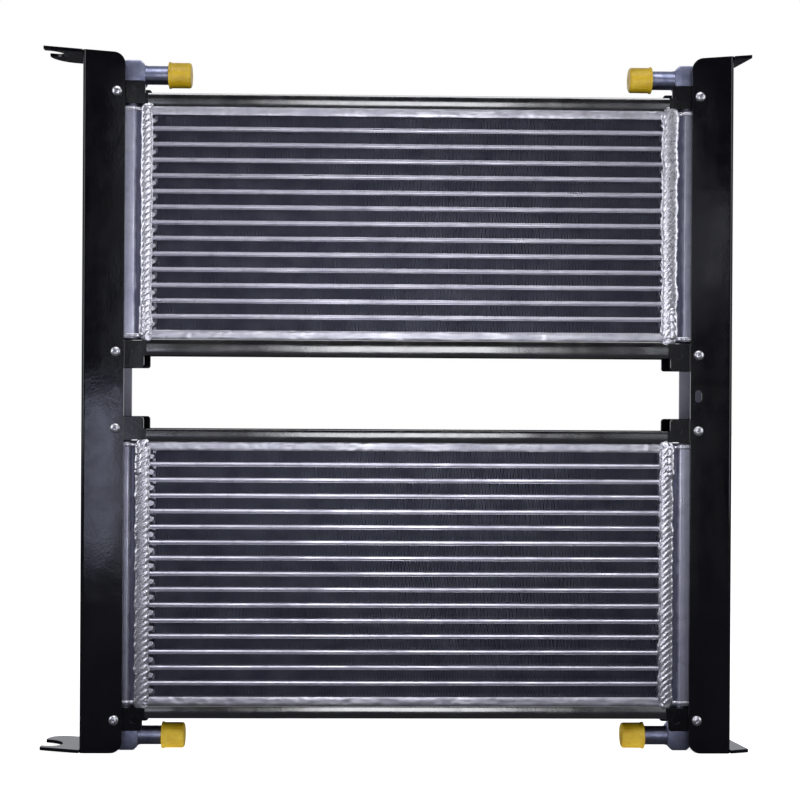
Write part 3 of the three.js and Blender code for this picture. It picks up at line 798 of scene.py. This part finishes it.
def bead_rings(path, across, out, width, height, pitch, seed, slant=0.0, root=0.25 * MM):
    """Sections of a weld bead along a path: overlapping half-moon ripples with an uneven hand."""
    rings = []
    travelled = 0.0
    steps = 12
    for number, point in enumerate(path):
        if number:
            travelled += (point - path[number - 1]).length
        side = across[number] if isinstance(across, list) else across
        face = out[number] if isinstance(out, list) else out
        ends = min(number, len(path) - 1 - number, 4) / 4
        swell = 0.45 + 0.55 * math.sqrt(max(ends, 0.02))
        half = width / 2 * swell * (1 + 0.16 * wander(travelled, seed, 120))
        shift = 0.07 * width * wander(travelled, seed + 3, 60)
        ring = []
        for step in range(steps + 1):
            t = 2 * step / steps - 1
            dome = math.sqrt(max(0.0, 1 - t * t))
            phase = (travelled + slant * t * width - 0.35 * pitch * (1 - t * t)) / pitch
            saw = phase - math.floor(phase)
            ripple = 0.78 + 0.30 * saw * (1 + 0.4 * wander(math.floor(phase), seed, 1.7))
            ring.append(point + side * (shift + half * t) + face * (height * swell * dome * ripple))
        ring.append(point + side * (shift + half) - face * root)
        ring.append(point + side * (shift - half) - face * root)
        rings.append(ring)
    return rings


def add_seam_welds(cooler, side):
    """The upright beads where the tank meets the core, front and rear, hooked in over the plates' corners."""
    low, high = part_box(f"tank_{cooler}_{side}")
    core_low, core_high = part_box(f"core_{cooler}")
    sign = SIDES[side]
    width, outboard = SEAMS[cooler, side]
    seam = (core_high.x if sign > 0 else core_low.x) + sign * outboard
    hook, turns = 3 * MM, 6
    shape = Shape()
    for face, out in ((core_low.y, -1), (core_high.y, 1)):
        path, across = [], []
        bottom, top = low.z + 1.0 * MM, high.z - 1.0 * MM
        steps = int((top - bottom) / (0.8 * MM))
        for step in range(steps + 1):
            path.append(Vector((seam, face, bottom + (top - bottom) * step / steps)))
            across.append(Vector((1, 0, 0)))
        for end in (-1, 1):
            curl_path, curl_across = [], []
            for step in range(1, turns + 1):
                angle = math.radians(125) * step / turns
                reach = Vector((-sign * hook * (1 - math.cos(angle)), 0, end * hook * math.sin(angle)))
                curl_path.append((path[-1] if end > 0 else path[0]) + reach)
                curl_across.append(Vector((math.cos(angle), 0, sign * end * math.sin(angle))))
            if end > 0:
                path, across = path + curl_path, across + curl_across
            else:
                path, across = list(reversed(curl_path)) + path, list(reversed(curl_across)) + across
        seed = 5 * sign + 11 * out + (0.5 if cooler == "upper" else 0.0)
        facing = Vector((0, out, 0))
        shape.loft(bead_rings(path, across, facing, width, 2.2 * MM, 6.2 * MM, seed, -0.45,
                              VALLEY_DEPTH + 0.4 * MM))
        far = -ENDS[COOLERS[cooler]]
        start = (high.z if far > 0 else low.z) + far * 1.5 * MM
        extra = [Vector((seam + sign * 3.5 * MM, face + out * 0.5 * MM, start - far * 32 * MM * step / 34))
                 for step in range(35)]
        shape.loft(bead_rings(extra, Vector((1, 0, 0)), facing, 0.62 * width, 2.6 * MM, 7.5 * MM, seed + 40,
                              0.3, VALLEY_DEPTH + 0.9 * MM))
    piece(f"seam_weld_{cooler}_{side}", shape.mesh("seam_weld", 50), WELD_METAL,
          [f"tank_{cooler}_{side}"])


def add_cover_welds(cooler, side, end):
    """The bead round an end plate's edge, laid on the corner between plate and tank."""
    low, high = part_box(f"tank_end_{cooler}_{side}_{end}")
    sign = ENDS[end]
    joint = low.z if sign > 0 else high.z
    outline = tank_line(cooler, side, 0)
    path, across, out = [], [], []
    fine = []
    for a, b in zip(outline, outline[1:]):
        pieces = max(1, round((b - a).length / (1.1 * MM)))
        fine += [a.lerp(b, i / pieces) for i in range(pieces)]
    fine.append(outline[-1])
    for i, point in enumerate(fine):
        tangent = (fine[min(i + 1, len(fine) - 1)] - fine[max(i - 1, 0)]).normalized()
        normal = Vector((tangent.y, -tangent.x, 0)) * SIDES[side]
        path.append(point + Vector((0, 0, joint)))
        out.append(normal)
        across.append(Vector((0, 0, sign)))
    rings = bead_rings(path, across, out, 3.8 * MM, 0.6 * MM, 2.6 * MM, joint * 50)
    piece(f"cover_weld_{cooler}_{side}_{end}", Shape().loft(rings).mesh("cover_weld", 50), WELD_METAL)


# ---- screws, fittings and caps -----------------------------------------------------------------------

SCREW_HEAD = 3.7 * MM
SCREW_RIM = 1.4 * MM
SCREW_SHANK = 2.5 * MM       # radius of the M5 thread
SCREW_SIDES = 48
BLOCK_HALF = 13.2 * MM       # half an elbow's forged block, in X and Z
BLOCK_DEPTH = 11.5 * MM      # and in Y
BLOCK_CUT = 4.5 * MM
NECK_RADIUS = 9.4 * MM
NECK_LENGTH = 23.6 * MM
THREAD_RADIUS = 11 * MM
THREAD_PITCH = 1.5 * MM
BORE_RADIUS = 6 * MM


def add_screw(name, turn):
    """A pan head screw: domed head with a cross recess, and a threaded shank."""
    low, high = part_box(name)
    front = "front" in name
    sign = 1 if front else -1
    top, length = (low.y if front else high.y), high.y - low.y
    middle = Vector(((low.x + high.x) / 2, top, (low.z + high.z) / 2))
    head, rim, shank = SCREW_HEAD, SCREW_RIM, SCREW_SHANK
    radius = (high.z - low.z) / 2

    def level(depth, reach, lobes=0.0):
        """A ring round the screw's axis, drawn in between four lobes for the cross recess."""
        ring = []
        for i in range(SCREW_SIDES):
            angle = 2 * math.pi * i / SCREW_SIDES
            size = reach * (1 - lobes * (1 - abs(math.cos(2 * angle)) ** 3))
            place = (size * math.cos(angle + turn), sign * depth, size * math.sin(angle + turn))
            ring.append(middle + Vector(place))
        return ring

    rings = [level(2.3 * MM, 0.4 * MM, 0.3), level(1.9 * MM, 1.0 * MM, 0.5), level(0.45 * MM, 2.0 * MM, 0.55),
             level(0.22 * MM, 2.25 * MM, 0.45)]
    dome = head - rim
    for step in range(7):
        angle = math.pi / 2 * (1 - step / 6) * 0.68
        rings.append(level(dome * (1 - math.sin(angle)) * 0.98, radius * math.cos(angle)))
    rings += [level(head - 0.25 * MM, radius), level(head, radius - 0.2 * MM), level(head, shank)]
    crests = int((length - head - 1.2 * MM) / (0.4 * MM))
    for crest in range(crests):
        rings.append(level(head + 0.4 * MM * (crest + 1), shank - (0.28 * MM if crest % 2 else 0)))
    rings.append(level(length, shank - 0.6 * MM))
    piece(name.replace("screw", "pan_screw"), Shape().loft(rings).mesh("screw", 32), SCREW_ZINC,
          [name])


def elbow_block(centre, sign, up):
    """The forged block: a chamfered outline across the depth, all edges rounded."""
    half, depth, cut = BLOCK_HALF, BLOCK_DEPTH, BLOCK_CUT
    outline = [(-half, -half + cut), (-half + cut, -half), (half, -half), (half, half - 1.5 * cut),
               (half - 1.5 * cut, half), (-half + cut, half), (-half, half - cut)]
    rings = [[centre + Vector((sign * x, y, up * z)) for x, z in outline] for y in (-depth, depth)]
    mesh = Shape().loft(rings).mesh("block", 20)
    work = bmesh.new()
    work.from_mesh(mesh)
    bmesh.ops.bevel(work, geom=list(work.edges), offset=1.3 * MM, segments=4, profile=0.5, affect="EDGES",
                    clamp_overlap=True)
    work.to_mesh(mesh)
    work.free()
    return mesh


def threaded_rings(start, end, centre, sign, radius, pitch, depth, sides=40):
    """Rings along X whose radius follows a helical thread, fading in at both ends."""
    rings = []
    count = int((end - start) / (pitch / 6))
    for step in range(count + 1):
        x = start + (end - start) * step / count
        fade = min(1.0, step / 8, (count - step) / 5)
        ring = []
        for i in range(sides):
            turn = i / sides
            wave = abs(((x / pitch + turn) % 1.0) - 0.5) * 2
            reach = radius - depth * fade * min(1.0, max(0.0, wave * 1.3 - 0.15))
            angle = 2 * math.pi * turn
            ring.append(centre + Vector((sign * x, reach * math.cos(angle), reach * math.sin(angle))))
        rings.append(ring)
    return rings


def add_elbow(cooler, side):
    name = f"elbow_{cooler}_{side}"
    low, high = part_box(name)
    sign, up = SIDES[side], ENDS[COOLERS[cooler]]
    depth = (low.y + high.y) / 2
    block = BLOCK_HALF
    level = (high.z - block) if up > 0 else (low.z + block)
    corner = (high.x - block) if sign > 0 else (low.x + block)
    centre = Vector((corner, depth, level))
    nose = abs((low.x if sign > 0 else high.x) - corner)
    neck, thread, neck_end = NECK_RADIUS, THREAD_RADIUS, block + NECK_LENGTH
    mesh = elbow_block(centre, sign, up)

    rod = Shape()
    rings = [round_ring(centre + Vector((-sign * x, 0, 0)), r, 40, "x") for x, r in
             ((2 * MM, neck), (block + 0.4 * MM, neck + 0.5 * MM), (block + 1.2 * MM, neck),
              (neck_end - 1.5 * MM, neck), (neck_end - 0.8 * MM, neck - 0.3 * MM),
              (neck_end, neck - 0.3 * MM), (neck_end + 0.1 * MM, thread - 0.8 * MM))]
    rings += threaded_rings(neck_end + 0.8 * MM, nose - 4.4 * MM, centre, -sign, thread, THREAD_PITCH,
                            0.8 * MM)
    rings += [round_ring(centre + Vector((-sign * x, 0, 0)), r, 40, "x") for x, r in
              ((nose - 4 * MM, thread - 0.9 * MM), (nose - 0.8 * MM, 8.7 * MM), (nose, 8.0 * MM))]
    mesh = boolean(mesh, rod.loft(rings).mesh("rod"), "UNION")
    foot = (low.z if up > 0 else high.z)
    reach = abs(foot - level)
    leg = Shape()
    seat = abs((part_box(f"seal_{cooler}_{side}")[1 if up > 0 else 0].z) - level) - 0.3 * MM
    lathe(leg, [(2 * MM, 10 * MM), (seat - 0.4 * MM, 10 * MM), (seat, 9.6 * MM), (seat, 7.7 * MM),
                (reach - 0.5 * MM, 7.7 * MM), (reach, 7.2 * MM)], centre, 40, "z", -up)
    mesh = boolean(mesh, leg.mesh("leg"), "UNION")
    bore = Shape()
    lathe(bore, [(-2 * MM, BORE_RADIUS), (nose - 1.2 * MM, BORE_RADIUS), (nose + 1 * MM, 7.6 * MM)],
          centre, 32, "x", -sign)
    mesh = boolean(mesh, bore.mesh("bore"), "DIFFERENCE")
    bore = Shape()
    lathe(bore, [(-2 * MM, BORE_RADIUS), (reach + 1 * MM, BORE_RADIUS)], centre, 32, "z", -up)
    mesh = tidy(boolean(mesh, bore.mesh("bore"), "DIFFERENCE"), 35)
    piece(name.replace("elbow", "elbow_fitting"), mesh, FORGED_ZINC, [name])


def add_seal(cooler, side):
    name = f"seal_{cooler}_{side}"
    low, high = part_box(name)
    centre = (low + high) / 2
    outer, half = (high.x - low.x) / 2, (high.z - low.z) / 2
    inner = 8.0 * MM
    profile = [(-half, inner + 0.3 * MM), (-half, outer - 0.6 * MM), (-0.5 * half, outer),
               (0.5 * half, outer), (half, outer - 0.6 * MM), (half, inner + 0.3 * MM),
               (0.6 * half, inner), (-0.6 * half, inner)]
    shape = Shape()
    lathe(shape, profile, centre, 48, "z", 1, True)
    piece(name.replace("seal", "seal_ring"), shape.mesh("seal", 50), RUBBER, [name])


def add_cap(cooler, side):
    """A push-on thread protector: flared lip, fluted side, rounded end with a moulding dimple."""
    name = f"cap_{cooler}_{side}"
    low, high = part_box(name)
    sign = SIDES[side]
    mouth = high.x if sign > 0 else low.x
    length = high.x - low.x
    centre = Vector((mouth, (low.y + high.y) / 2, (low.z + high.z) / 2))
    lip = (high.z - low.z) / 2
    body, inner = lip - 0.75 * MM, 11.35 * MM
    profile = [(0.35 * MM, inner), (0.0, inner + 0.5 * MM), (0.0, lip - 0.5 * MM), (0.4 * MM, lip),
               (1.6 * MM, lip), (2.1 * MM, lip - 0.4 * MM), (2.6 * MM, body), (6 * MM, body),
               (length * 0.5, body), (length - 6 * MM, body - 0.05 * MM)]
    for step in range(7):
        angle = math.pi / 2 * step / 6
        profile.append((length - 2.8 * MM + 2.8 * MM * math.sin(angle),
                        body - 2.8 * MM * (1 - math.cos(angle))))
    profile += [(length, 5 * MM), (length - 0.25 * MM, 4.4 * MM), (length - 0.35 * MM, 1.8 * MM),
                (length - 0.9 * MM, 1.1 * MM), (length - 1.0 * MM, 0.35 * MM)]
    profile += [(length - 2 * MM, 0.35 * MM), (length - 2 * MM, inner - 1 * MM), (length - 3 * MM, inner)]
    sides = 96
    rings = []
    for s, r in profile:
        ring = []
        fluted = 3 * MM < s < length - 1.5 * MM and r > inner + 0.8 * MM
        for i in range(sides):
            angle = 2 * math.pi * i / sides
            groove = 0.14 * MM * (0.5 + 0.5 * math.cos(angle * 24)) if fluted else 0.0
            place = (-sign * s, (r - groove) * math.cos(angle), (r - groove) * math.sin(angle))
            ring.append(centre + Vector(place))
        rings.append(ring)
    piece(name.replace("cap", "thread_protector"), Shape().loft(rings, True).mesh("cap", 45), AMBER,
          [name], f"thread_cap_{cooler}_{side}")


# ---- studio ------------------------------------------------------------------------------------------

def add_camera():
    """Level, a little left of the middle, and turned slightly to the right."""
    camera = bpy.data.cameras.new("camera")
    camera.sensor_width = 36
    camera.lens = 72.1
    made = bpy.data.objects.new("camera", camera)
    made.location = (-0.0367, -1.6335, 0.3561)
    yaw, pitch, roll = (math.radians(v) for v in (1.391, -0.072, 0.336))
    turn = Matrix.Rotation(-yaw, 4, "Z") @ Matrix.Rotation(math.pi / 2 + pitch, 4, "X")
    made.rotation_euler = (turn @ Matrix.Rotation(roll, 4, "Z")).to_euler()
    bpy.context.scene.collection.objects.link(made)
    bpy.context.scene.camera = made


def add_light(name, place, target, size, power, colour):
    data = bpy.data.lights.new(name, "AREA")
    data.shape = "RECTANGLE"
    data.size, data.size_y = size
    data.energy = power
    data.color = colour
    made = bpy.data.objects.new(name, data)
    made.location = place
    made.rotation_euler = (Vector(target) - Vector(place)).to_track_quat("-Z", "Y").to_euler()
    made.visible_camera = False
    bpy.context.scene.collection.objects.link(made)


def add_floor():
    shape = Shape()
    size, thick = 14.0, 0.02
    solid_box(shape, (-size, -size, -thick), (size, size, 0), 0.004)
    floor = bpy.data.objects.new("studio_floor", shape.mesh("floor"))
    floor.data.materials.append(studio_floor())
    bpy.context.scene.collection.objects.link(floor)


def add_world():
    """A pale backdrop for the camera. For light and reflections, bright behind the object, dim before it."""
    world = bpy.data.worlds.new("studio")
    bpy.context.scene.world = world
    world.use_nodes = True
    tree = world.node_tree
    tree.nodes.clear()
    output = tree.nodes.new("ShaderNodeOutputWorld")
    seen = tree.nodes.new("ShaderNodeBackground")
    seen.inputs["Color"].default_value = (1.0, 1.0, 1.0, 1)
    lit = tree.nodes.new("ShaderNodeBackground")
    place = tree.nodes.new("ShaderNodeTexCoord")
    split = tree.nodes.new("ShaderNodeSeparateXYZ")
    ramp = tree.nodes.new("ShaderNodeMapRange")
    for key, number in (("From Min", 0.0), ("From Max", 0.7), ("To Min", 0.03), ("To Max", 0.9)):
        ramp.inputs[key].default_value = number
    rays = tree.nodes.new("ShaderNodeLightPath")
    choose = tree.nodes.new("ShaderNodeMixShader")
    lit.inputs["Color"].default_value = (0.93, 0.94, 1.0, 1)
    tree.links.new(place.outputs["Generated"], split.inputs[0])
    tree.links.new(split.outputs["Y"], ramp.inputs["Value"])
    tree.links.new(ramp.outputs["Result"], lit.inputs["Strength"])
    tree.links.new(rays.outputs["Is Camera Ray"], choose.inputs["Fac"])
    tree.links.new(lit.outputs[0], choose.inputs[1])
    tree.links.new(seen.outputs[0], choose.inputs[2])
    tree.links.new(choose.outputs[0], output.inputs["Surface"])


def add_studio():
    add_world()
    add_floor()
    aim = (MIDDLE, 0, (cad_low.z + cad_high.z) / 2)
    add_light("front_box", (0.06, -1.80, 0.44), (0.03, 0, 0.42), (0.46, 0.80), 4.3, (0.96, 0.96, 1.0))
    add_light("left_box", (-1.7, -1.0, 0.9), aim, (0.9, 1.4), 9, (0.95, 0.96, 1.0))
    add_light("right_box", (1.7, -1.0, 0.8), aim, (0.9, 1.4), 8, (0.97, 0.97, 1.0))
    add_light("top_box", (0.0, -0.9, 1.9), aim, (1.6, 0.7), 14, (0.97, 0.97, 1.0))
    add_light("left_card", (-0.565, -1.65, 0.20), (-0.295, 0, 0.27), (0.08, 0.32), 0.30, (0.70, 0.74, 1.0))
    add_light("right_card", (0.676, -1.65, 0.66), (0.315, 0, 0.50), (0.08, 0.22), 0.05, (0.85, 0.86, 1.0))
    add_light("left_strip", (-0.484, -1.65, 0.34), (-0.265, 0, 0.34), (0.045, 1.3), 0.26, (0.90, 0.92, 1.0))
    add_light("right_strip", (0.575, -1.65, 0.34), (0.265, 0, 0.34), (0.045, 1.3), 0.26, (0.90, 0.92, 1.0))
    scene = bpy.context.scene
    scene.view_settings.view_transform = "Standard"
    scene.view_settings.look = "None"


# ---- everything --------------------------------------------------------------------------------------

add_camera()
add_frame()
for cooler in COOLERS:
    for end in ENDS:
        add_cross_bar(cooler, end)
    add_passages(cooler)
    add_closing_bars(cooler)
    add_fins(cooler)
    add_side_plates(cooler)
for cooler, side in FITTINGS:
    add_tank_shell(cooler, side)
    add_seam_welds(cooler, side)
    for end in ENDS:
        add_tank_end(cooler, side, end)
        add_cover_welds(cooler, side, end)
    add_elbow(cooler, side)
    add_seal(cooler, side)
    add_cap(cooler, side)
turns = random.Random(5)
for name in sorted(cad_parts):
    if name.startswith("screw_"):
        add_screw(name, turns.uniform(0, math.pi / 2))
add_studio()
